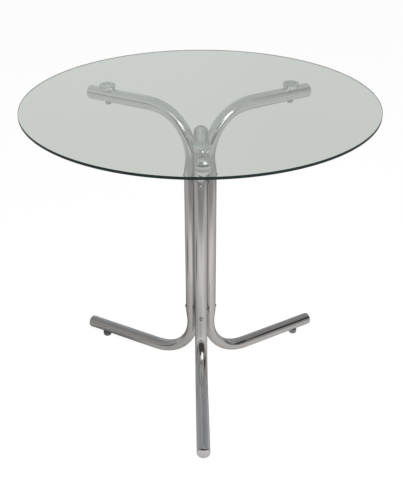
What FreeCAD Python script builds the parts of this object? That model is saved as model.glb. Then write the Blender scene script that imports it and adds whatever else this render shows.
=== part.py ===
import FreeCAD, Part
import math
import os

# A round glass table on three identical chromed tube legs, set back to back
# round the table's axis. Millimetres, +Z up, origin on the floor under the
# centre of the glass. The front leg points along -Y.

# Overall size and the glass
table_height = 750.0
glass_diameter = 800.0
glass_thickness = 6.0
glass_edge_bevel = 0.8

# The legs, each one tube bent into a C: arm, upright and foot
leg_names = ("front", "right", "left")
tube_diameter = 32.0
tube_wall = 1.5
upright_gap = 13.0
bend_radius = 114.0
arm_reach = 306.0
foot_reach = 360.0

# The press flattens each bend on its inside. The tube is gathered over a short run of the
# upright, and becomes round again in the last share of the bend, towards the arm or the foot.
upper_bend_flattening = 5.0
lower_bend_flattening = 4.0
flattening_run = 38.0
flattening_stations = 6
bend_gather_share = 0.45
bend_gather_stations = 9

# Domed plugs that close the tube ends
plug_rim = 0.6
plug_edge_bevel = 2.2
plug_dome = 4.0
plug_stem_length = 14.0
plug_stem_wall = 2.0
plug_stem_lead = 1.0
plug_rib_height = 0.25
plug_rib_width = 2.0
plug_rib_count = 2

# Turned pads between the arms and the glass, each with a clear bonding film on top
pad_inset = 55.0
pad_diameter = 40.0
pad_height = 9.5
pad_rim = 2.5
pad_edge_bevel = 0.5
pad_neck_diameter = 22.0
pad_flare = 2.5
pad_cap_over_thread = 1.5
bond_thickness = 0.5
bond_margin = 0.8

# Hexagon bolts that come up through the arms into the pads
pad_bolt_diameter = 8.0
pad_bolt_head_flats = 13.0
pad_bolt_head_height = 5.3
pad_bolt_tip_gap = 0.6
bolt_tip_bevel = 0.8

# Spacer hubs between the uprights, and the button screws that pull the uprights onto them
lower_hub_above_bend = 3.0
upper_hub_below_bend = 9.0
hub_diameter = 42.0
hub_length = 15.0
hub_bevel = 1.0
hub_screw_diameter = 6.0
hub_screw_head_diameter = 11.0
hub_screw_head_rim = 1.2
hub_screw_head_dome = 3.2
hub_screw_socket_flats = 4.0
hub_screw_socket_depth = 2.0
hub_screw_tip_offset = 2.0

# Glides under the feet, each on a stud in a rivet nut
glide_inset = 54.0
glide_diameter = 22.0
glide_height = 13.8
glide_contact_diameter = 13.0
glide_shoulder = 5.0
glide_top_bevel = 1.2
stud_diameter = 8.0
stud_head_diameter = 13.0
stud_head_height = 2.5
stud_head_cover = 4.5
stud_length_in_tube = 14.0
rivet_nut_diameter = 11.0
rivet_nut_flange_diameter = 15.0
rivet_nut_flange = 1.2
rivet_nut_length = 13.0
rivet_nut_bulge = 1.4
rivet_nut_bulge_length = 4.0

# Clearances, and the overrun that serves every cut
hole_clearance = 0.3
seat_gap = 0.1
thread_gap = 0.05
overrun = 2.0

# Values that follow from the ones above
tube_radius = tube_diameter / 2
bore_radius = tube_radius - tube_wall
upright_offset = (tube_diameter + upright_gap) / 2 / math.sin(math.pi / len(leg_names))
foot_height = glide_height + rivet_nut_flange + tube_radius
arm_height = table_height - glass_thickness - bond_thickness - pad_height - tube_radius
bend_centre = upright_offset + bend_radius
lower_hub_height = foot_height + bend_radius + flattening_run + lower_hub_above_bend
upper_hub_height = arm_height - bend_radius - flattening_run - upper_hub_below_bend
pad_distance = arm_reach - pad_inset
glide_distance = foot_reach - glide_inset
plug_head = plug_rim + plug_edge_bevel + plug_dome
arm_end = arm_reach - plug_head
foot_end = foot_reach - plug_head
head_seat = tube_radius + seat_gap

origin = FreeCAD.Vector(0, 0, 0)
outward = FreeCAD.Vector(1, 0, 0)
across = FreeCAD.Vector(0, 1, 0)
up = FreeCAD.Vector(0, 0, 1)
quarter_turn = 90
full_turn = 360
front_leg_angle = -90
hexagon_sides = 6


def point(x, z):
    return FreeCAD.Vector(x, 0, z)


def turned_to_leg(shape, name):
    """A shape drawn for a leg along +X, turned to the leg's own direction."""
    turned = shape.copy()
    turned.rotate(origin, up, front_leg_angle + full_turn * leg_names.index(name) / len(leg_names))
    return turned


def revolved(edges):
    """A closed outline in the XZ plane, turned about the Z axis."""
    face = Part.Face(Part.Wire(edges))
    return face.revolve(origin, up, full_turn)


def polyline(points):
    """Straight edges from each point to the next."""
    return [Part.LineSegment(a, b).toShape() for a, b in zip(points, points[1:])]


def dome_edge(radius, rim_z, rise):
    """The arc of a spherical dome from its rim to the point on the axis."""
    ball_radius = (radius ** 2 + rise ** 2) / (2 * rise)
    half_angle = math.asin(radius / ball_radius) / 2
    middle_z = rim_z + rise - ball_radius * (1 - math.cos(half_angle))
    middle = point(ball_radius * math.sin(half_angle), middle_z)
    return Part.Arc(point(radius, rim_z), middle, point(0, rim_z + rise)).toShape()


def cylinder(radius, length, base, direction):
    return Part.makeCylinder(radius, length, base, direction)


def corner_radius(flats):
    """The radius through the corners of a hexagon of that width across flats."""
    return flats / 2 / math.cos(math.pi / hexagon_sides)


def hexagon(flats, height, base):
    """A hexagonal prism along +Z."""
    corner = corner_radius(flats)
    corners = []
    for side in range(hexagon_sides):
        angle = math.tau * side / hexagon_sides
        corners.append(base + FreeCAD.Vector(corner * math.cos(angle), corner * math.sin(angle), 0))
    outline = Part.makePolygon(corners + corners[:1])
    return Part.Face(outline).extrude(up * height)


# Glass

def glass_top():
    """The round pane, with the arrises of its edge ground off."""
    pane = cylinder(glass_diameter / 2, glass_thickness, up * (table_height - glass_thickness), up)
    rims = [edge for edge in pane.Edges if isinstance(edge.Curve, Part.Circle)]
    return pane.makeChamfer(glass_edge_bevel, rims)


# Legs

def tube_section(centre, outside, radius, flattening):
    """The tube's outline: round, or flattened on the side away from the outside of the bend."""
    drop = flattening / 2
    middle = centre + outside * drop
    width_end = middle + across * radius
    depth_end = middle + outside * (radius - drop)
    return Part.Wire([Part.Ellipse(width_end, depth_end, middle).toShape()])


def eased(along_share):
    """A share that leaves nought and reaches one without a kink."""
    return along_share ** 2 * (3 - 2 * along_share)


def flattening_loft(bend_end, away, outside, radius, flattening):
    """The stretch of the upright beside a bend where the flattened tube becomes round again."""
    sections = []
    for station in range(flattening_stations):
        along_share = station / (flattening_stations - 1)
        centre = bend_end + away * (flattening_run * along_share)
        sections.append(tube_section(centre, outside, radius, flattening * (1 - eased(along_share))))
    return Part.makeLoft(sections, True, False)


def bend(start, pivot, turn, radius, flattening):
    """A bend away from the upright: flattened at first, and gathered to round by its far end."""
    outside = -outward
    flattened_turn = turn * (1 - bend_gather_share)
    face = Part.Face(tube_section(start, outside, radius, flattening))
    sections = []
    for station in range(bend_gather_stations):
        along_share = station / (bend_gather_stations - 1)
        swing = FreeCAD.Rotation(across, flattened_turn + (turn - flattened_turn) * along_share)
        centre = pivot + swing.multVec(start - pivot)
        left_flat = flattening * (1 - eased(along_share))
        sections.append(tube_section(centre, swing.multVec(outside), radius, left_flat))
    return [face.revolve(pivot, across, flattened_turn), Part.makeLoft(sections, True, False)]


def leg_body(radius, end_overrun):
    """The whole C of one leg as a solid bar of the given radius, along +X."""
    foot_bend_end = point(bend_centre, foot_height)
    lower_pivot = point(bend_centre, foot_height + bend_radius)
    upright_foot = point(upright_offset, foot_height + bend_radius)
    upright_head = point(upright_offset, arm_height - bend_radius)
    upper_pivot = point(bend_centre, arm_height - bend_radius)
    arm_bend_end = point(bend_centre, arm_height)
    foot_length = foot_end - bend_centre + end_overrun
    arm_length = arm_end - bend_centre + end_overrun
    upright_length = upright_head.z - upright_foot.z - 2 * flattening_run
    lower = lower_bend_flattening
    upper = upper_bend_flattening
    pieces = [
        cylinder(radius, foot_length, foot_bend_end, outward),
        flattening_loft(upright_foot, up, -outward, radius, lower),
        cylinder(radius, upright_length, upright_foot + up * flattening_run, up),
        flattening_loft(upright_head, -up, -outward, radius, upper),
        cylinder(radius, arm_length, arm_bend_end, outward),
    ]
    pieces += bend(upright_foot, lower_pivot, -quarter_turn, radius, lower)
    pieces += bend(upright_head, upper_pivot, quarter_turn, radius, upper)
    return pieces[0].multiFuse(pieces[1:])


def leg_tube():
    """One hollow leg with the holes for its screws, pad bolt and rivet nut."""
    tube = leg_body(tube_radius, 0).cut(leg_body(bore_radius, overrun))
    through = tube_diameter + 2 * overrun
    for height in (lower_hub_height, upper_hub_height):
        start = point(upright_offset - tube_radius - overrun, height)
        tube = tube.cut(cylinder(hub_screw_diameter / 2 + hole_clearance, through, start, outward))
    start = point(pad_distance, arm_height - tube_radius - overrun)
    tube = tube.cut(cylinder(pad_bolt_diameter / 2 + hole_clearance, through, start, up))
    start = point(glide_distance, foot_height - tube_radius - overrun)
    return tube.cut(cylinder(rivet_nut_diameter / 2 + seat_gap, tube_radius, start, up))


def end_plug():
    """A hollow stem with grip ribs under a domed head, pointing along +Z from the tube's end."""
    stem_radius = bore_radius - plug_rib_height - seat_gap
    stem_bore = stem_radius - plug_stem_wall
    dome_radius = tube_radius - plug_edge_bevel
    points = [
        point(0, plug_head),
        point(0, 0),
        point(stem_bore, 0),
        point(stem_bore, -plug_stem_length),
        point(stem_radius - plug_stem_lead, -plug_stem_length),
        point(stem_radius, -plug_stem_length + plug_stem_lead),
        point(stem_radius, 0),
        point(tube_radius, 0),
        point(tube_radius, plug_rim),
        point(dome_radius, plug_rim + plug_edge_bevel),
    ]
    dome = dome_edge(dome_radius, plug_rim + plug_edge_bevel, plug_dome)
    plug = revolved(polyline(points) + [dome])
    rib_pitch = plug_stem_length / (plug_rib_count + 1)
    for index in range(plug_rib_count):
        base = -up * (rib_pitch * (index + 1) + plug_rib_width / 2)
        rib = cylinder(stem_radius + plug_rib_height, plug_rib_width, base, up)
        rib = rib.cut(cylinder(stem_radius - plug_stem_wall / 2, plug_rib_width, base, up))
        plug = plug.fuse(rib)
    return plug


def plug_in_place(end_x, height):
    plug = end_plug()
    plug.rotate(origin, across, quarter_turn)
    plug.translate(point(end_x, height))
    return plug


# Pads and their bolts

def glass_pad():
    """A disc that flares down into a neck, saddled over the arm and tapped from below."""
    pad_radius = pad_diameter / 2
    neck_radius = pad_neck_diameter / 2
    saddle_drop = tube_radius - math.sqrt(tube_radius ** 2 - neck_radius ** 2)
    flare_top = pad_height - pad_rim
    flare_slant = pad_flare * (1 - math.sqrt(0.5))
    neck_top = flare_top - pad_flare
    lower_edges = polyline([
        point(0, pad_height),
        point(0, -saddle_drop),
        point(neck_radius, -saddle_drop),
        point(neck_radius, neck_top),
    ])
    middle = point(neck_radius + flare_slant, flare_top - flare_slant)
    flare_end = point(neck_radius + pad_flare, flare_top)
    flare_edge = Part.Arc(point(neck_radius, neck_top), middle, flare_end).toShape()
    upper_edges = polyline([
        flare_end,
        point(pad_radius - pad_edge_bevel, flare_top),
        point(pad_radius, flare_top + pad_edge_bevel),
        point(pad_radius, pad_height - pad_edge_bevel),
        point(pad_radius - pad_edge_bevel, pad_height),
        point(0, pad_height),
    ])
    pad = revolved(lower_edges + [flare_edge] + upper_edges)
    saddle = cylinder(
        tube_radius + seat_gap,
        pad_diameter,
        point(-pad_radius, -tube_radius),
        outward,
    )
    thread = cylinder(
        pad_bolt_diameter / 2 + thread_gap,
        pad_height - pad_cap_over_thread + saddle_drop + overrun,
        -up * (saddle_drop + overrun),
        up,
    )
    pad = pad.cut(saddle).cut(thread)
    pad.translate(point(pad_distance, arm_height + tube_radius))
    return pad


def pad_bond():
    """The clear film between a pad and the glass."""
    film_radius = pad_diameter / 2 - bond_margin
    base = point(pad_distance, arm_height + tube_radius + pad_height)
    return cylinder(film_radius, bond_thickness, base, up)


def pad_bolt():
    """A hexagon bolt with its head under the arm and its shank up in the pad."""
    shank_radius = pad_bolt_diameter / 2
    shank_top = 2 * tube_radius + seat_gap + pad_height - pad_cap_over_thread - pad_bolt_tip_gap
    shank = revolved(polyline([
        point(0, 0),
        point(shank_radius, 0),
        point(shank_radius, shank_top - bolt_tip_bevel),
        point(shank_radius - bolt_tip_bevel, shank_top),
        point(0, shank_top),
        point(0, 0),
    ]))
    corner = corner_radius(pad_bolt_head_flats)
    flat = pad_bolt_head_flats / 2
    bevel = (corner - flat) * math.tan(math.radians(30))
    turning = revolved(polyline([
        point(0, 0),
        point(corner, 0),
        point(corner, -pad_bolt_head_height + bevel),
        point(flat, -pad_bolt_head_height),
        point(0, -pad_bolt_head_height),
        point(0, 0),
    ]))
    prism = hexagon(pad_bolt_head_flats, pad_bolt_head_height, -up * pad_bolt_head_height)
    bolt = prism.common(turning).fuse(shank)
    bolt.translate(point(pad_distance, arm_height - head_seat))
    return bolt


# Hubs and their screws

def hub(height):
    """A round spacer with one saddle for each upright and a tapped hole in each saddle."""
    body = cylinder(hub_diameter / 2, hub_length, up * (height - hub_length / 2), up)
    rims = [edge for edge in body.Edges if isinstance(edge.Curve, Part.Circle)]
    body = body.makeChamfer(hub_bevel, rims)
    for name in leg_names:
        base = point(upright_offset, height - hub_length)
        upright = cylinder(tube_radius + seat_gap, 2 * hub_length, base, up)
        body = body.cut(turned_to_leg(upright, name))
    for name in leg_names:
        start = point(hub_screw_tip_offset - thread_gap, height)
        thread = cylinder(hub_screw_diameter / 2 + thread_gap, hub_diameter, start, outward)
        body = body.cut(turned_to_leg(thread, name))
    return body


def hub_screw(height):
    """A button-headed screw from outside an upright, through it and into the hub."""
    shank_radius = hub_screw_diameter / 2
    head_radius = hub_screw_head_diameter / 2
    length = upright_offset + head_seat - hub_screw_tip_offset
    head_top = hub_screw_head_rim + hub_screw_head_dome
    points = [
        point(0, head_top),
        point(0, -length),
        point(shank_radius - bolt_tip_bevel, -length),
        point(shank_radius, -length + bolt_tip_bevel),
        point(shank_radius, 0),
        point(head_radius, 0),
        point(head_radius, hub_screw_head_rim),
    ]
    dome = dome_edge(head_radius, hub_screw_head_rim, hub_screw_head_dome)
    screw = revolved(polyline(points) + [dome])
    socket_base = up * (head_top - hub_screw_socket_depth)
    screw = screw.cut(hexagon(hub_screw_socket_flats, head_top, socket_base))
    screw.rotate(origin, across, quarter_turn)
    screw.translate(point(upright_offset + head_seat, height))
    return screw


# Glides

def glide_stud():
    """A headed stud moulded into the glide, with its shank up in the rivet nut."""
    head_top = stud_head_cover + stud_head_height
    shank_top = foot_height - tube_radius + stud_length_in_tube
    shank_radius = stud_diameter / 2
    stud = revolved(polyline([
        point(0, stud_head_cover),
        point(stud_head_diameter / 2, stud_head_cover),
        point(stud_head_diameter / 2, head_top),
        point(shank_radius, head_top),
        point(shank_radius, shank_top - bolt_tip_bevel),
        point(shank_radius - bolt_tip_bevel, shank_top),
        point(0, shank_top),
        point(0, stud_head_cover),
    ]))
    stud.translate(outward * glide_distance)
    return stud


def glide():
    """A button that bulges out from its flat contact face, moulded round the stud."""
    glide_radius = glide_diameter / 2
    contact_radius = glide_contact_diameter / 2
    bulge = glide_radius - contact_radius
    slant = math.sqrt(0.5)
    middle = point(contact_radius + bulge * slant, glide_shoulder * (1 - slant))
    shoulder = point(glide_radius, glide_shoulder)
    foot_edge = Part.Arc(point(contact_radius, 0), middle, shoulder).toShape()
    edges = polyline([
        shoulder,
        point(glide_radius, glide_height - glide_top_bevel),
        point(glide_radius - glide_top_bevel, glide_height),
        point(0, glide_height),
        point(0, 0),
        point(contact_radius, 0),
    ])
    body = revolved(edges + [foot_edge])
    body.translate(outward * glide_distance)
    return body.cut(glide_stud())


def rivet_nut():
    """A flanged nut through the foot's lower wall, with its bulge drawn against the bore."""
    nut_radius = rivet_nut_diameter / 2
    seat_z = foot_height - tube_radius
    base = point(glide_distance, seat_z)
    flange = cylinder(rivet_nut_flange_diameter / 2, rivet_nut_flange, base - up * rivet_nut_flange, up)
    barrel = cylinder(nut_radius, rivet_nut_length, base, up)
    bulge_length = tube_wall + rivet_nut_bulge_length
    bulge = cylinder(nut_radius + rivet_nut_bulge, bulge_length, base, up)
    bore = cylinder(
        bore_radius - seat_gap,
        2 * rivet_nut_flange_diameter,
        point(glide_distance - rivet_nut_flange_diameter, foot_height),
        outward,
    )
    nut = flange.fuse(barrel).fuse(bulge.common(bore))
    thread = cylinder(
        stud_diameter / 2 + thread_gap,
        rivet_nut_flange + rivet_nut_length + 2 * overrun,
        base - up * (rivet_nut_flange + overrun),
        up,
    )
    return nut.cut(thread)


# The whole table

def one_per_leg(nodes, name, shape):
    """A node for each leg, named after it."""
    for leg in leg_names:
        nodes[f"{name}_{leg}"] = turned_to_leg(shape, leg)


def set_of_fasteners(shapes):
    """Identical fasteners at every leg, as one group of separate solids."""
    return Part.makeCompound([turned_to_leg(shape, leg) for leg in leg_names for shape in shapes])


def table():
    nodes = {"glass_top": glass_top()}
    one_per_leg(nodes, "leg_tube", leg_tube())
    one_per_leg(nodes, "arm_plug", plug_in_place(arm_end, arm_height))
    one_per_leg(nodes, "foot_plug", plug_in_place(foot_end, foot_height))
    one_per_leg(nodes, "glass_pad", glass_pad())
    one_per_leg(nodes, "pad_bond", pad_bond())
    one_per_leg(nodes, "glide", glide())
    nodes["lower_hub"] = hub(lower_hub_height)
    nodes["upper_hub"] = hub(upper_hub_height)
    nodes["hub_screws"] = set_of_fasteners([hub_screw(lower_hub_height), hub_screw(upper_hub_height)])
    nodes["pad_bolts"] = set_of_fasteners([pad_bolt()])
    nodes["glide_studs"] = set_of_fasteners([glide_stud()])
    nodes["rivet_nuts"] = set_of_fasteners([rivet_nut()])
    return nodes


os.makedirs("parts", exist_ok=True)
for node_name, node_shape in table().items():
    solids = node_shape.Solids
    print(node_name, len(solids), "solid", node_shape.isValid(), round(node_shape.Volume))
    node_shape.exportStep(f"parts/{node_name}.step")
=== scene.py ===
import math

import bmesh
import bpy
from mathutils import Matrix, Vector


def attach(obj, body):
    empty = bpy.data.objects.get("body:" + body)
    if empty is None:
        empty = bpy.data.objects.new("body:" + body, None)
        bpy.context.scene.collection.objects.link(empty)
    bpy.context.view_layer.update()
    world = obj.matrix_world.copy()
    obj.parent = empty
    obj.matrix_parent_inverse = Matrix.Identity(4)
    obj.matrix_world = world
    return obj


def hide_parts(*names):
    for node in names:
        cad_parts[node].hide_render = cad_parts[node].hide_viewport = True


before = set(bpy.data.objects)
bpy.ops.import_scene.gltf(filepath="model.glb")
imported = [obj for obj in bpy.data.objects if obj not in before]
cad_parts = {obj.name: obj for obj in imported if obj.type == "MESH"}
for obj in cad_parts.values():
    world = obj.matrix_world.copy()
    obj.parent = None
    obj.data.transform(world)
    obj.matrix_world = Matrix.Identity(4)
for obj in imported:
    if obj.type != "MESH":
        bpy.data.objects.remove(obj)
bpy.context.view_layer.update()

mm = 0.001
X = Vector((1, 0, 0))
Y = Vector((0, 1, 0))
Z = Vector((0, 0, 1))

# Sizes of the table, as the maker gives them
table_height = 750 * mm
glass_diameter = 800 * mm
glass_thickness = 6 * mm
glass_edge_bevel = 0.8 * mm
bond_gap = 0.02 * mm
tube_radius = 16 * mm
tube_wall = 1.5 * mm
upright_offset = 25.98 * mm
bend_radius = 114 * mm
arm_height = 718 * mm
foot_height = 31 * mm
arm_end = 299.2 * mm
foot_end = 353.2 * mm
upper_flattening = 5 * mm
lower_flattening = 4 * mm
flattening_run = 38 * mm
bend_gather_share = 0.45
plug_height = 6.8 * mm
plug_rim = 0.5 * mm
plug_shoulder = 3.0 * mm
pad_distance = 251 * mm
pad_radius = 19 * mm
pad_height = 9.5 * mm
pad_edge_round = 0.7 * mm
pad_foot_radius = 11 * mm
glide_distance = 306 * mm
glide_radius = 11 * mm
glide_height = 13.8 * mm
glide_contact_radius = 6.5 * mm
glide_shoulder = 5 * mm
glide_top_bevel = 1.2 * mm
screw_heights = (186 * mm, 557 * mm)
screw_seat = 42.08 * mm
screw_head_radius = 5.5 * mm
screw_head_rim = 1.2 * mm
screw_head_height = 4.4 * mm
screw_socket_flats = 4 * mm
screw_socket_depth = 2 * mm
screw_socket_lip = 2.6 * mm

leg_turns = {"front": -90, "right": 30, "left": 150}

# How finely the round shapes are divided
pane_steps = 360
round_steps = 96
bend_steps = 60
run_steps = 16
flank_steps = 16
crown_steps = 14
curve_steps = 10
edge_steps = 5
bevel_steps = 3

merge_distance = 0.002 * mm
crisp_angle = 35


# Shader nodes

# Between no mirrored bounce and one
before_first_bounce = 0.5


def new_material(name):
    """A material with its nodes, their links and its shader."""
    material = bpy.data.materials.new(name)
    material.use_nodes = True
    nodes = material.node_tree.nodes
    shader = nodes["Principled BSDF"]
    return material, nodes, material.node_tree.links, shader


def feed(links, value, socket):
    """Links an output to a socket, or gives the socket a plain value."""
    if isinstance(value, bpy.types.NodeSocket):
        links.new(value, socket)
    else:
        socket.default_value = value


def worked_out(nodes, links, kind, operation, *values):
    """A node that does one operation on outputs and plain values."""
    step = nodes.new(kind)
    step.operation = operation
    for value, socket in zip(values, step.inputs):
        feed(links, value, socket)
    return step


def number_of(nodes, links, operation, *values):
    """The number that one operation makes of others."""
    return worked_out(nodes, links, "ShaderNodeMath", operation, *values).outputs["Value"]


def vector_of(nodes, links, operation, *values):
    """The vector that one operation makes of others."""
    step = worked_out(nodes, links, "ShaderNodeVectorMath", operation, *values)
    return step.outputs["Vector"]


def length_of(nodes, links, vector):
    """The length of a vector."""
    step = worked_out(nodes, links, "ShaderNodeVectorMath", "LENGTH", vector)
    return step.outputs["Value"]


def blended(nodes, links, share, first, second):
    """The first colour where the share is nothing, the second one where it is one."""
    mix = nodes.new("ShaderNodeMixRGB")
    for value, socket in ((share, "Fac"), (first, "Color1"), (second, "Color2")):
        feed(links, value, mix.inputs[socket])
    return mix.outputs["Color"]


def mixed(nodes, links, share, first, second):
    """The first shader where the share is nothing, the second one where it is one."""
    mix = nodes.new("ShaderNodeMixShader")
    for value, socket in zip((share, first, second), mix.inputs):
        links.new(value, socket)
    return mix.outputs["Shader"]


def faded(nodes, links, value, inner, outer):
    """One up to the inner value, nothing beyond the outer one, eased between them."""
    edge = nodes.new("ShaderNodeMapRange")
    edge.interpolation_type = "SMOOTHSTEP"
    edge.inputs["From Min"].default_value = outer
    edge.inputs["From Max"].default_value = inner
    links.new(value, edge.inputs["Value"])
    return edge.outputs["Result"]


def near_place(nodes, links, source, place, inner, outer, stretch=1):
    """One near a place, nothing far from it. A stretch over one makes the patch lower."""
    away = vector_of(nodes, links, "SUBTRACT", source, place)
    weighed = vector_of(nodes, links, "MULTIPLY", away, (1, 1, stretch))
    return faded(nodes, links, length_of(nodes, links, weighed), inner, outer)


def soft_noise(nodes, links, scale, detail, low, high):
    """A slow change between two levels over the piece."""
    place = nodes.new("ShaderNodeTexCoord")
    noise = nodes.new("ShaderNodeTexNoise")
    noise.inputs["Scale"].default_value = scale
    noise.inputs["Detail"].default_value = detail
    levels = nodes.new("ShaderNodeMapRange")
    levels.inputs["To Min"].default_value = low
    levels.inputs["To Max"].default_value = high
    links.new(place.outputs["Object"], noise.inputs["Vector"])
    links.new(noise.outputs["Fac"], levels.inputs["Value"])
    return levels.outputs["Result"]


def straight_through_pane(nodes, links, path):
    """One for what is seen straight through the glass, nothing after a mirrored bounce."""
    unmirrored = number_of(
        nodes, links, "LESS_THAN", path.outputs["Glossy Depth"], before_first_bounce)
    return number_of(
        nodes, links, "MULTIPLY", path.outputs["Is Transmission Ray"], unmirrored)


# Materials

glass_refraction = 1.52
glass_tint = (0.97, 0.985, 0.93, 1)
glass_depth_colour = (0.3, 0.66, 0.57, 1)
glass_depth_density = 13
lamp_colour_through_glass = (0.92, 0.94, 0.92, 1)
# The glass's own green at its edge, darkened to near-black as a painted reflection of the dark
# room in front
edge_greens_with_painted_dark = ((0.012, 0.05, 0.042, 1), (0.022, 0.062, 0.058, 1))
edge_clearness = 0.15
glide_grey = (0.42, 0.422, 0.426, 1)
glide_shine = 0.6
bond_tint = (0.9, 0.92, 0.91, 1)
bond_refraction = 1.48
metal_grazing_tint = (0.6, 0.6, 0.6, 1)
ripple_depth = 0.2 * mm


def bright_metal(name, colour, rough_low, rough_high, scale, ripple):
    """Plated metal whose polish varies a little and whose surface ripples faintly."""
    material, nodes, links, shader = new_material(name)
    shader.inputs["Base Color"].default_value = (*colour, 1)
    shader.inputs["Metallic"].default_value = 1
    shader.inputs["Specular Tint"].default_value = metal_grazing_tint
    polish = soft_noise(
        nodes, links, scale=scale, detail=2, low=rough_low, high=rough_high)
    links.new(polish, shader.inputs["Roughness"])
    bump = nodes.new("ShaderNodeBump")
    bump.inputs["Strength"].default_value = ripple
    bump.inputs["Distance"].default_value = ripple_depth
    waves = soft_noise(nodes, links, scale=scale * 2, detail=1, low=0, high=1)
    links.new(waves, bump.inputs["Height"])
    links.new(bump.outputs["Normal"], shader.inputs["Normal"])
    return material


def pane_glass():
    """Clear float glass with the green of its iron, that lets lamps through."""
    material, nodes, links, shader = new_material("pane_glass")
    shader.inputs["Base Color"].default_value = glass_tint
    shader.inputs["Roughness"].default_value = 0
    shader.inputs["IOR"].default_value = glass_refraction
    shader.inputs["Transmission Weight"].default_value = 1
    clear = nodes.new("ShaderNodeBsdfTransparent")
    clear.inputs["Color"].default_value = lamp_colour_through_glass
    path = nodes.new("ShaderNodeLightPath")
    surface = mixed(
        nodes, links, path.outputs["Is Shadow Ray"], shader.outputs["BSDF"],
        clear.outputs["BSDF"])
    inside = nodes.new("ShaderNodeVolumeAbsorption")
    inside.inputs["Color"].default_value = glass_depth_colour
    inside.inputs["Density"].default_value = glass_depth_density
    output = nodes["Material Output"]
    links.new(surface, output.inputs["Surface"])
    links.new(inside.outputs["Volume"], output.inputs["Volume"])
    return material


def ground_edge():
    """The satin ground edge of the glass, where its green lies deepest, made near-black as a
    painted reflection of the dark room in front.
    """
    material, nodes, links, shader = new_material("pane_edge")
    shader.inputs["IOR"].default_value = glass_refraction
    shader.inputs["Transmission Weight"].default_value = edge_clearness
    share = soft_noise(nodes, links, scale=9, detail=2, low=0, high=1)
    # The deep green is the glass's own; its near-black darkness is a painted reflection of the
    # dark room
    links.new(blended(nodes, links, share, *edge_greens_with_painted_dark), shader.inputs["Base Color"])
    satin = soft_noise(nodes, links, scale=60, detail=2, low=0.25, high=0.4)
    links.new(satin, shader.inputs["Roughness"])
    return material


def glide_plastic():
    """Moulded grey plastic with a fine even skin."""
    material, nodes, links, shader = new_material("glide_plastic")
    shader.inputs["Base Color"].default_value = glide_grey
    shader.inputs["Specular IOR Level"].default_value = glide_shine
    skin = soft_noise(nodes, links, scale=400, detail=2, low=0.12, high=0.2)
    links.new(skin, shader.inputs["Roughness"])
    return material


def clear_bond():
    """The cured film between a pad and the glass."""
    material, nodes, links, shader = new_material("bond_film")
    shader.inputs["Base Color"].default_value = bond_tint
    skin = soft_noise(nodes, links, scale=150, detail=2, low=0.015, high=0.03)
    links.new(skin, shader.inputs["Roughness"])
    shader.inputs["IOR"].default_value = bond_refraction
    shader.inputs["Transmission Weight"].default_value = 1
    return material


# Name, colour, least and most roughness, fineness of the pattern, strength of the ripple
chrome = bright_metal("leg_chrome", (0.76, 0.75, 0.745), 0.02, 0.05, 18, 0.02)
pad_chrome = bright_metal("pad_chrome", (0.78, 0.78, 0.78), 0.03, 0.07, 60, 0.02)
plug_chrome = bright_metal("plug_chrome", (0.74, 0.74, 0.745), 0.03, 0.06, 60, 0.02)
screw_plate = bright_metal("screw_plate", (0.7, 0.7, 0.7), 0.06, 0.12, 120, 0.02)
zinc_plate = bright_metal("zinc_plate", (0.5, 0.5, 0.49), 0.22, 0.34, 160, 0.05)
turned_metal = bright_metal("turned_hub_metal", (0.5, 0.5, 0.5), 0.2, 0.3, 90, 0.04)
glass = pane_glass()
glass_edge = ground_edge()
plastic = glide_plastic()
bond = clear_bond()


# Shaping

def placed(name, bm, material):
    """Makes an object of a shape and puts it in the scene."""
    mesh = bpy.data.meshes.new(name)
    bm.to_mesh(mesh)
    bm.free()
    mesh.materials.append(material)
    piece = bpy.data.objects.new(name, mesh)
    bpy.context.scene.collection.objects.link(piece)
    return piece


def finished(name, bm, material, slot, *nodes):
    """Puts a shaped piece in the scene in place of its plain CAD nodes."""
    bmesh.ops.remove_doubles(bm, verts=bm.verts, dist=merge_distance)
    bmesh.ops.recalc_face_normals(bm, faces=bm.faces)
    for face in bm.faces:
        face.smooth = True
    piece = placed(name, bm, material)
    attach(piece, "root")
    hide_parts(*nodes)
    return piece


def keep_edges_crisp(piece):
    """Smooth shading that stops at edges sharper than the crisp angle."""
    piece.data.set_sharp_from_angle(angle=math.radians(crisp_angle))


def lay_along_x(bm):
    """Lays what was shaped along +Z along +X."""
    turn = Matrix.Rotation(math.pi / 2, 3, "Y")
    bmesh.ops.rotate(bm, verts=bm.verts, cent=(0, 0, 0), matrix=turn)


def turn_to_leg(bm, leg):
    """Turns what was shaped along +X to the leg's own direction."""
    turn = Matrix.Rotation(math.radians(leg_turns[leg]), 3, "Z")
    bmesh.ops.rotate(bm, verts=bm.verts, cent=(0, 0, 0), matrix=turn)


def edges_in(geometry):
    """The edges among what an operator made."""
    return [item for item in geometry if isinstance(item, bmesh.types.BMEdge)]


def verts_in(geometry):
    """The vertices among what an operator made."""
    return [item for item in geometry if isinstance(item, bmesh.types.BMVert)]


def arc(bm, start, centre, degrees, steps):
    """Swings an edge chain in the XZ plane from a vertex and returns its last vertex."""
    swung = bmesh.ops.spin(
        bm, geom=[start], cent=centre, axis=Y, angle=math.radians(degrees), steps=steps,
        use_merge=False, use_duplicate=False)
    return verts_in(swung["geom_last"])[0]


def join(bm, start, radius, height):
    """One more straight edge of a half section, to a radius and a height."""
    end = bm.verts.new((radius, 0, height))
    bm.edges.new((start, end))
    return end


def turned(bm, centre=(0, 0, 0)):
    """Turns the half section once round the upright axis."""
    bmesh.ops.spin(
        bm, geom=bm.verts[:] + bm.edges[:], cent=centre, axis=Z, angle=math.tau,
        steps=round_steps, use_merge=True, use_duplicate=False)


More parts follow.
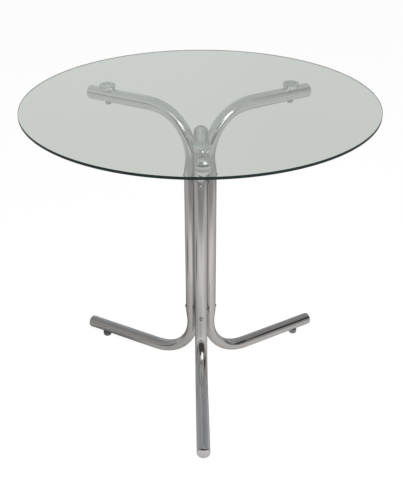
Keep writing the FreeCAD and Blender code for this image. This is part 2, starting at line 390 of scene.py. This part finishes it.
def extend(bm, ring, change, steps):
    """Extrudes a ring of edges in steps, each moved by the change for its share of the way."""
    before = change(0)
    for step in range(1, steps + 1):
        made = bmesh.ops.extrude_edge_only(bm, edges=ring)["geom"]
        ring = edges_in(made)
        verts = verts_in(made)
        after = change(step / steps)
        bmesh.ops.transform(bm, matrix=after @ before.inverted(), verts=verts)
        before = after
    return ring


def straight(bm, ring, travel):
    """One straight run of the tube."""
    return extend(bm, ring, lambda share: Matrix.Translation(travel * share), 1)


def squeeze(centre, outside, flattening):
    """Flattens the tube at a centre on the side away from the outside of the bend."""
    depth = 1 - flattening / (2 * tube_radius)
    flat = Matrix.Scale(depth, 4, outside)
    shifted = Matrix.Translation(centre + outside * flattening / 2)
    return shifted @ flat @ Matrix.Translation(-centre)


def eased(share):
    """A share that leaves nought and reaches one without a kink."""
    return share * share * (3 - 2 * share)


def gather(bm, ring, start, travel, outside, flattening, flatten):
    """The run of the upright beside a bend, between the round and the flattened tube."""
    def change(share):
        amount = flattening * (eased(share) if flatten else 1 - eased(share))
        here = start + travel * share
        return squeeze(here, outside, amount) @ Matrix.Translation(travel * share)
    return extend(bm, ring, change, run_steps)


def quarter_bend(bm, ring, start, pivot, outside, flattening, from_upright):
    """The bend about its pivot, flattened beside the upright and round at its other end."""
    def change(share):
        swing = Matrix.Rotation(-math.pi / 2 * share, 4, "Y")
        here = pivot + swing @ (start - pivot)
        from_round = 1 - share if from_upright else share
        amount = flattening * eased(min(1, from_round / bend_gather_share))
        swung = Matrix.Translation(pivot) @ swing @ Matrix.Translation(-pivot)
        return squeeze(here, swing @ outside, amount) @ swung
    return extend(bm, ring, change, bend_steps)


# The pieces

def pane():
    """The round glass: two flat clear faces and, of four-cornered faces, its ground edge."""
    bm = bmesh.new()
    disc = bmesh.ops.create_circle(
        bm, cap_ends=True, radius=glass_diameter / 2, segments=pane_steps)
    thickness = glass_thickness - bond_gap
    bmesh.ops.translate(bm, verts=disc["verts"], vec=Z * (table_height - thickness))
    raised = bmesh.ops.extrude_face_region(bm, geom=bm.faces[:])
    bmesh.ops.translate(bm, verts=verts_in(raised["geom"]), vec=Z * thickness)
    rims = [edge for edge in bm.edges
            if abs(edge.verts[0].co.z - edge.verts[1].co.z) < glass_edge_bevel]
    bmesh.ops.bevel(
        bm, geom=rims, offset=glass_edge_bevel, offset_type="OFFSET", segments=bevel_steps,
        profile=0.5, affect="EDGES", material=-1)
    piece = finished("glass_pane", bm, glass, "glass", "glass_top")
    piece.data.materials.append(glass_edge)
    for face in piece.data.polygons:
        face.use_smooth = len(face.vertices) == 4
        face.material_index = int(face.use_smooth)


def leg(name):
    """One tube, from the end of its arm over the upright to the end of its foot."""
    bend_centre = upright_offset + bend_radius
    upper_pivot = Vector((bend_centre, 0, arm_height - bend_radius))
    lower_pivot = Vector((bend_centre, 0, foot_height + bend_radius))
    upright_head = Vector((upright_offset, 0, upper_pivot.z))
    upright_foot = Vector((upright_offset, 0, lower_pivot.z))
    bm = bmesh.new()
    bmesh.ops.create_circle(bm, cap_ends=False, radius=tube_radius, segments=round_steps)
    lay_along_x(bm)
    bmesh.ops.translate(bm, verts=bm.verts, vec=(arm_end, 0, arm_height))
    ring = bm.edges[:]
    run = flattening_run
    arm_bend = Vector((bend_centre, 0, arm_height))
    ring = straight(bm, ring, -X * (arm_end - bend_centre))
    ring = quarter_bend(bm, ring, arm_bend, upper_pivot, Z, upper_flattening, False)
    ring = gather(bm, ring, upright_head, -Z * run, -X, upper_flattening, False)
    ring = straight(bm, ring, -Z * (upright_head.z - upright_foot.z - 2 * run))
    ring = gather(bm, ring, upright_foot + Z * run, -Z * run, -X, lower_flattening, True)
    ring = quarter_bend(bm, ring, upright_foot, lower_pivot, -X, lower_flattening, True)
    straight(bm, ring, X * (foot_end - bend_centre))
    turn_to_leg(bm, name)
    bmesh.ops.recalc_face_normals(bm, faces=bm.faces)
    bmesh.ops.solidify(bm, geom=bm.faces[:], thickness=tube_wall)
    piece = finished("chrome_leg_" + name, bm, chrome, "chromed_tube", "leg_tube_" + name)
    keep_edges_crisp(piece)


def plug(leg_name, part, end, height):
    """The domed head that closes a tube: a rim, a round shoulder and a crown tangent to it."""
    shoulder_reach = tube_radius - plug_shoulder
    shoulder_centre = Vector((shoulder_reach, 0, plug_rim))
    rise = plug_height - plug_rim
    ball = (shoulder_reach ** 2 + rise ** 2 - plug_shoulder ** 2) / (2 * (rise - plug_shoulder))
    lean = math.degrees(math.asin(shoulder_reach / (ball - plug_shoulder)))
    bm = bmesh.new()
    start = bm.verts.new((0, 0, 0))
    rim = join(bm, start, tube_radius, 0)
    side = join(bm, rim, tube_radius, plug_rim)
    top = arc(bm, side, shoulder_centre, lean - 90, curve_steps)
    arc(bm, top, Vector((0, 0, plug_height - ball)), -lean, crown_steps)
    turned(bm)
    lay_along_x(bm)
    bmesh.ops.translate(bm, verts=bm.verts, vec=(end, 0, height))
    turn_to_leg(bm, leg_name)
    piece = finished(f"{part}_cap_{leg_name}", bm, plug_chrome, "plug", f"{part}_plug_{leg_name}")
    keep_edges_crisp(piece)


def pad(name):
    """The pad under the glass, half a ball that flares up from the crown of its arm."""
    top_height = pad_height - bond_gap
    widest = top_height - pad_edge_round
    lean = math.degrees(math.acos(pad_foot_radius / pad_radius))
    bm = bmesh.new()
    middle = bm.verts.new((0, 0, widest - math.sqrt(pad_radius ** 2 - pad_foot_radius ** 2)))
    foot = join(bm, middle, pad_foot_radius, middle.co.z)
    side = arc(bm, foot, Vector((0, 0, widest)), -lean, flank_steps)
    top = arc(bm, side, Vector((pad_radius - pad_edge_round, 0, widest)), -90, edge_steps)
    join(bm, top, 0, top_height)
    turned(bm)
    bmesh.ops.translate(bm, verts=bm.verts, vec=(pad_distance, 0, arm_height + tube_radius))
    turn_to_leg(bm, name)
    piece = finished("flared_pad_" + name, bm, pad_chrome, "pad", "glass_pad_" + name)
    keep_edges_crisp(piece)


def swell(bm, start, bulge):
    """The swelling side of a glide, a quarter round stretched to the shoulder's height."""
    end = arc(bm, start, Vector((glide_contact_radius, 0, bulge)), -90, curve_steps)
    lifted = [vert for vert in bm.verts if vert.co.z > 0]
    bmesh.ops.scale(bm, vec=(1, 1, glide_shoulder / bulge), verts=lifted)
    return end


def glide(name):
    """The moulded button under a foot."""
    bm = bmesh.new()
    bulge = glide_radius - glide_contact_radius
    centre = bm.verts.new((0, 0, 0))
    contact = join(bm, centre, glide_contact_radius, 0)
    shoulder = swell(bm, contact, bulge)
    rim = glide_height - glide_top_bevel
    side = join(bm, shoulder, glide_radius, rim)
    top = arc(bm, side, Vector((glide_radius - glide_top_bevel, 0, rim)), -90, edge_steps)
    join(bm, top, 0, glide_height)
    turned(bm)
    bmesh.ops.translate(bm, verts=bm.verts, vec=(glide_distance, 0, 0))
    turn_to_leg(bm, name)
    piece = finished("button_glide_" + name, bm, plastic, "glide", "glide_" + name)
    keep_edges_crisp(piece)


def sink_socket(bm, rim):
    """Sinks a hexagon socket inside the round rim of a screw head that points up."""
    inner = bmesh.ops.extrude_edge_only(bm, edges=rim)["geom"]
    for vert in verts_in(inner):
        turn = math.atan2(vert.co.y, vert.co.x) % (math.pi / 3) - math.pi / 6
        vert.co.xy *= screw_socket_flats / (2 * math.cos(turn)) / vert.co.xy.length
    deep = bmesh.ops.extrude_edge_only(bm, edges=edges_in(inner))["geom"]
    bmesh.ops.translate(bm, verts=verts_in(deep), vec=-Z * screw_socket_depth)
    bmesh.ops.contextual_create(bm, geom=edges_in(deep))


def screw_head():
    """One button head that points up, from under its rim to the lip of its socket."""
    dome = screw_head_height - screw_head_rim
    ball = (screw_head_radius ** 2 + dome ** 2) / (2 * dome)
    lean = math.asin(screw_head_radius / ball)
    lip = math.asin(screw_socket_lip / ball)
    bm = bmesh.new()
    start = bm.verts.new((0, 0, 0))
    under = join(bm, start, screw_head_radius, 0)
    rim = join(bm, under, screw_head_radius, screw_head_rim)
    crown = Vector((0, 0, screw_head_height - ball))
    arc(bm, rim, crown, math.degrees(lip - lean), curve_steps)
    turned(bm)
    bmesh.ops.remove_doubles(bm, verts=bm.verts, dist=merge_distance)
    sink_socket(bm, [edge for edge in bm.edges if edge.is_boundary])
    return bm


def screw_heads():
    """The button heads of the screws, each with its hexagon socket."""
    heads = bmesh.new()
    for name in leg_turns:
        for height in screw_heights:
            head = screw_head()
            lay_along_x(head)
            bmesh.ops.translate(head, verts=head.verts, vec=(screw_seat, 0, height))
            turn_to_leg(head, name)
            mesh = bpy.data.meshes.new("screw_head")
            head.to_mesh(mesh)
            head.free()
            heads.from_mesh(mesh)
            bpy.data.meshes.remove(mesh)
    piece = finished("screw_heads", heads, screw_plate, "screw", "hub_screws")
    keep_edges_crisp(piece)


pane()
for leg_name in leg_turns:
    leg(leg_name)
    plug(leg_name, "arm", arm_end, arm_height)
    plug(leg_name, "foot", foot_end, foot_height)
    pad(leg_name)
    glide(leg_name)
screw_heads()

node_finishes = {
    "lower_hub": turned_metal,
    "upper_hub": turned_metal,
    "pad_bolts": zinc_plate,
    "glide_studs": zinc_plate,
    "rivet_nuts": zinc_plate,
    "pad_bond_front": bond,
    "pad_bond_right": bond,
    "pad_bond_left": bond,
}
for node, material in node_finishes.items():
    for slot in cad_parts[node].material_slots:
        slot.material = material


# The studio

floor_radius = 6
floor_steps = 128
floor_colour = (0.8, 0.8, 0.8, 1)
floor_roughness = 0.9
floor_glow_seen = 0.88
floor_glow_through_pane = 0.48
floor_glow_mirrored = 0.37
white_level = 1.4
wall_through_pane = 0.58
pane_mirror_level = 0.875
pane_mirror_from = 0.04
pane_gain = 1.63
room_level = 0.1

# Faint colours that the metal shows, and where the near ones begin and end to fade. The near
# floor's warm tint is a painted reflection, on the glow that only the metal mirrors.
plain_tint = (1, 1, 1, 1)
painted_near_floor_reflection_tint = (1.045, 0.99, 0.965, 1)
near_floor_fade = (0.8, 1.4)
side_wall_tint = (1.022, 0.995, 0.985, 1)
back_wall_tint = (0.955, 1.0, 1.05, 1)
back_wall_fade = (0.5, 1.1)
back_wall_stretch = 0.5
tint_through_pane = (0.975, 0.995, 1.03, 1)

# Painted shade and light on the floor's glow as the metal mirrors it: place, inner and outer
# edge, change of level.
# The first one darkens the floor around the table, the second paints a pool of light in front of
# it, the third paints the shadow under it, the last two paint shade on the floor by the left
# foot, and the others give the finer streaks.
painted_floor_shade_and_light = (
    (0.0, 0.0, 1.4, 2.4, -0.28),
    (0.032, -0.336, 0.164, 0.767, 0.399),
    (0.017, -0.117, 0.024, 0.676, -0.604),
    (0.163, 0.652, 0.267, 0.408, -0.27),
    (0.55, 0.013, 0.473, 0.934, 0.248),
    (-0.567, 0.09, 0.721, 1.086, 0.209),
    (-0.25, 0.144, 0.05, 0.14, -0.16),
    (-0.62, -0.1, 0.08, 0.2, -0.3),
)

# Height on the walls as the sine of the angle above the horizon, with the level there
wall_levels = (
    (0.0, 0.40),
    (0.052, 0.316),
    (0.139, 0.345),
    (0.259, 0.345),
    (0.42, 0.298),
    (0.64, 0.258),
    (0.87, 0.239),
    (1.0, 0.222),
)

# Patches of the walls: bearing and height in degrees, stretch, inner and outer edge, level
wall_patches = (
    (175.2, 9.2, 1.755, 0.635, 0.92, 0.059),
    (-100.5, -2.5, 1.797, 0.321, 0.502, 0.042),
    (104.4, 36.2, 0.3, 0.168, 0.272, 0.042),
    (136.5, 54.6, 2.0, 0.069, 0.201, 0.147),
    (181.5, 42.8, 2.154, 0.136, 0.326, 0.651),
    (-12.2, 17.5, 0.308, 0.166, 0.342, 0.426),
    (85.9, 3.9, 2.907, 0.49, 0.735, 0.165),
    (-119, 1, 5.0, 0.2, 0.3, 0.02),
)

# Soft boxes that the metal shows: bearing, distance, height, width, depth, level,
# and whether it is only seen by what looks up through the pane
soft_boxes = (
    (160.4, 1.873, 1.46, 0.938, 0.91, 1.579, False),
    (123.9, 1.493, 1.834, 1.233, 0.587, 0.4, False),
    (176.1, 1.456, 2.539, 0.869, 1.091, 0.98, True),
)
soft_box_margin = 1.2
soft_box_fade = (0.88, 1.12)

# The lamp in front, to the right
lamp_place = Vector((1.17, -2.2, 2.5))
lamp_aim = Vector((0, 0, 0.4))
lamp_width = 1.9
lamp_height = 0.6
lamp_power = 15

# The camera: place in metres, angles in degrees, lens and sensor in millimetres
camera_place = Vector((-0.0250, -1.7068, 1.3602))
camera_yaw = 0.908
camera_pitch = 30.239
camera_roll = -0.157
camera_lens = 57.49
camera_sensor = 36


def grey(level):
    """A grey of one level."""
    return (level, level, level, 1)


def bearing(azimuth, height):
    """The direction at so many degrees clockwise from +Y, and so many above the horizon."""
    turn, lift = math.radians(azimuth), math.radians(height)
    reach = math.cos(lift)
    return Vector((reach * math.sin(turn), reach * math.cos(turn), math.sin(lift)))


def staged(name, bm, material):
    """Puts a piece of the studio in the scene."""
    piece = placed(name, bm, material)
    return piece


def studio_floor():
    """The pale floor: white to the eye, greyer in the chrome with painted shadows and a painted
    pool of light in the glow that the metal mirrors, and with the table's soft shadow.
    """
    bm = bmesh.new()
    bmesh.ops.create_circle(bm, cap_ends=True, radius=floor_radius, segments=floor_steps)
    material, nodes, links, shader = new_material("floor_paper")
    shader.inputs["Base Color"].default_value = floor_colour
    shader.inputs["Roughness"].default_value = floor_roughness
    shader.inputs["Specular IOR Level"].default_value = 0
    path = nodes.new("ShaderNodeLightPath")
    glow = nodes.new("ShaderNodeEmission")
    place = nodes.new("ShaderNodeTexCoord").outputs["Object"]
    near = near_place(nodes, links, place, (0, 0, 0), *near_floor_fade)
    # The warm tint near the table is a painted reflection, seen only in the metal
    in_metal = blended(nodes, links, near, plain_tint, painted_near_floor_reflection_tint)
    tint = blended(nodes, links, path.outputs["Is Glossy Ray"], plain_tint, in_metal)
    links.new(tint, glow.inputs["Color"])
    level = floor_glow_mirrored
    # Painted shadows and pools of light, added to the glow that only the metal mirrors
    for across, along, inner, outer, change in painted_floor_shade_and_light:
        share = near_place(nodes, links, place, (across, along, 0), inner, outer)
        level = number_of(nodes, links, "MULTIPLY_ADD", share, change, level)
    for share, other_level in (
            (straight_through_pane(nodes, links, path), floor_glow_through_pane),
            (path.outputs["Is Camera Ray"], floor_glow_seen)):
        strength = nodes.new("ShaderNodeMix")
        strength.inputs["B"].default_value = other_level
        links.new(share, strength.inputs["Factor"])
        links.new(level, strength.inputs["A"])
        level = strength.outputs["Result"]
    links.new(level, glow.inputs["Strength"])
    paper = nodes.new("ShaderNodeAddShader")
    links.new(shader.outputs["BSDF"], paper.inputs[0])
    links.new(glow.outputs["Emission"], paper.inputs[1])
    links.new(paper.outputs["Shader"], nodes["Material Output"].inputs["Surface"])
    staged("studio_floor", bm, material)


def even_background(nodes, level):
    """One level of white all round."""
    around = nodes.new("ShaderNodeBackground")
    around.inputs["Color"].default_value = plain_tint
    around.inputs["Strength"].default_value = level
    return around.outputs["Background"]


def mirrored_walls(nodes, links, path, place, height):
    """The walls as the metal shows them: levels by height, patches, and faint tints."""
    ramp = nodes.new("ShaderNodeValToRGB")
    while len(ramp.color_ramp.elements) < len(wall_levels):
        ramp.color_ramp.elements.new(0.5)
    for element, (position, level) in zip(ramp.color_ramp.elements, wall_levels):
        element.position = position
        element.color = grey(level)
    links.new(height, ramp.inputs["Fac"])
    level = ramp.outputs["Color"]
    for azimuth, lift, stretch, inner, outer, patch_level in wall_patches:
        share = near_place(nodes, links, place, bearing(azimuth, lift), inner, outer, stretch)
        level = blended(nodes, links, share, level, grey(patch_level))
    behind = near_place(
        nodes, links, place, bearing(0, 0), *back_wall_fade, stretch=back_wall_stretch)
    tint = blended(nodes, links, behind, side_wall_tint, back_wall_tint)
    through_pane = path.outputs["Is Transmission Ray"]
    tint = blended(nodes, links, through_pane, tint, tint_through_pane)
    walls = nodes.new("ShaderNodeBackground")
    links.new(vector_of(nodes, links, "MULTIPLY", level, tint), walls.inputs["Color"])
    strength = number_of(nodes, links, "MULTIPLY_ADD", through_pane, pane_gain - 1, 1)
    links.new(strength, walls.inputs["Strength"])
    return walls.outputs["Background"]


def pane_mirror_share(nodes, links, path, height):
    """One for what the flat glass mirrors from above the horizon."""
    mirrored = number_of(
        nodes, links, "MULTIPLY", path.outputs["Is Reflection Ray"],
        path.outputs["Is Singular Ray"])
    raised = nodes.new("ShaderNodeMapRange")
    raised.inputs["From Min"].default_value = 0
    raised.inputs["From Max"].default_value = pane_mirror_from
    links.new(height, raised.inputs["Value"])
    return number_of(nodes, links, "MULTIPLY", mirrored, raised.outputs["Result"])


def studio_world():
    """White to the eye, a pale sky in the pane's mirror, and grey walls in the metal."""
    world = bpy.data.worlds.new("studio")
    bpy.context.scene.world = world
    world.use_nodes = True
    nodes, links = world.node_tree.nodes, world.node_tree.links
    place = nodes.new("ShaderNodeTexCoord").outputs["Generated"]
    parts = nodes.new("ShaderNodeSeparateXYZ")
    links.new(place, parts.inputs["Vector"])
    height = parts.outputs["Z"]
    path = nodes.new("ShaderNodeLightPath")
    shiny = number_of(
        nodes, links, "MAXIMUM", path.outputs["Is Glossy Ray"],
        path.outputs["Is Transmission Ray"])
    seen_through = straight_through_pane(nodes, links, path)
    pane_mirror = pane_mirror_share(nodes, links, path, height)
    chosen = even_background(nodes, room_level)
    for share, around in (
            (shiny, mirrored_walls(nodes, links, path, place, height)),
            (seen_through, even_background(nodes, wall_through_pane)),
            (pane_mirror, even_background(nodes, pane_mirror_level)),
            (path.outputs["Is Camera Ray"], even_background(nodes, white_level))):
        chosen = mixed(nodes, links, share, chosen, around)
    links.new(chosen, nodes["World Output"].inputs["Surface"])


def soft_box_cloth(name, width, depth, level, through_pane):
    """A glow with soft edges that shows only after a mirrored bounce."""
    material, nodes, links, shader = new_material(name)
    nodes.remove(shader)
    clear = nodes.new("ShaderNodeBsdfTransparent")
    glow = nodes.new("ShaderNodeEmission")
    glow.inputs["Strength"].default_value = level
    where = nodes.new("ShaderNodeTexCoord")
    parts = nodes.new("ShaderNodeSeparateXYZ")
    links.new(where.outputs["Object"], parts.inputs["Vector"])
    path = nodes.new("ShaderNodeLightPath")
    share = number_of(
        nodes, links, "GREATER_THAN", path.outputs["Glossy Depth"], before_first_bounce)
    if through_pane:
        share = number_of(
            nodes, links, "MULTIPLY", share, path.outputs["Is Transmission Ray"])
    for side, size in (("X", width), ("Y", depth)):
        away = number_of(nodes, links, "ABSOLUTE", parts.outputs[side])
        inner, outer = (size / 2 * part for part in soft_box_fade)
        edge = faded(nodes, links, away, inner, outer)
        share = number_of(nodes, links, "MULTIPLY", share, edge)
    surface = mixed(nodes, links, share, clear.outputs["BSDF"], glow.outputs["Emission"])
    links.new(surface, nodes["Material Output"].inputs["Surface"])
    return material


def mirrored_soft_box(name, azimuth, distance, height, width, depth, level, through_pane):
    """A soft box that faces the table and that only the polished metal shows."""
    bm = bmesh.new()
    bmesh.ops.create_grid(bm, x_segments=1, y_segments=1, size=0.5)
    spread = (width * soft_box_margin, depth * soft_box_margin, 1)
    bmesh.ops.scale(bm, verts=bm.verts, vec=spread)
    material = soft_box_cloth(name + "_cloth", width, depth, level, through_pane)
    box = staged(name, bm, material)
    outward = bearing(azimuth, 0)
    box.location = outward * distance + Z * height
    box.rotation_euler = outward.to_track_quat("Z", "Y").to_euler()
    box.visible_camera = False
    box.visible_diffuse = False
    box.visible_shadow = False


def front_lamp():
    """The large soft lamp, which the metal doesn't show."""
    data = bpy.data.lights.new("front_soft_box", "AREA")
    data.shape = "RECTANGLE"
    data.size = lamp_width
    data.size_y = lamp_height
    data.energy = lamp_power
    lamp = bpy.data.objects.new("front_soft_box", data)
    lamp.location = lamp_place
    lamp.rotation_euler = (lamp_aim - lamp_place).to_track_quat("-Z", "Y").to_euler()
    lamp.visible_glossy = False
    bpy.context.scene.collection.objects.link(lamp)


def photo_camera():
    """The camera, standing where the photograph was taken."""
    yaw, pitch, roll = (math.radians(turn) for turn in (camera_yaw, camera_pitch, camera_roll))
    level_ahead = Vector((math.sin(yaw), math.cos(yaw), 0))
    ahead = level_ahead * math.cos(pitch) - Z * math.sin(pitch)
    level_right = Vector((math.cos(yaw), -math.sin(yaw), 0))
    above = level_right.cross(ahead)
    right = level_right * math.cos(roll) + above * math.sin(roll)
    upward = above * math.cos(roll) - level_right * math.sin(roll)
    data = bpy.data.cameras.new("camera")
    data.lens = camera_lens
    data.sensor_width = camera_sensor
    camera = bpy.data.objects.new("camera", data)
    camera.matrix_world = Matrix((right, upward, -ahead)).transposed().to_4x4()
    camera.location = camera_place
    bpy.context.scene.collection.objects.link(camera)
    bpy.context.scene.camera = camera


studio_floor()
studio_world()
front_lamp()
for number, box in enumerate(soft_boxes, 1):
    mirrored_soft_box(f"soft_box_{number}", *box)
photo_camera()
bpy.context.scene.view_settings.view_transform = "Standard"
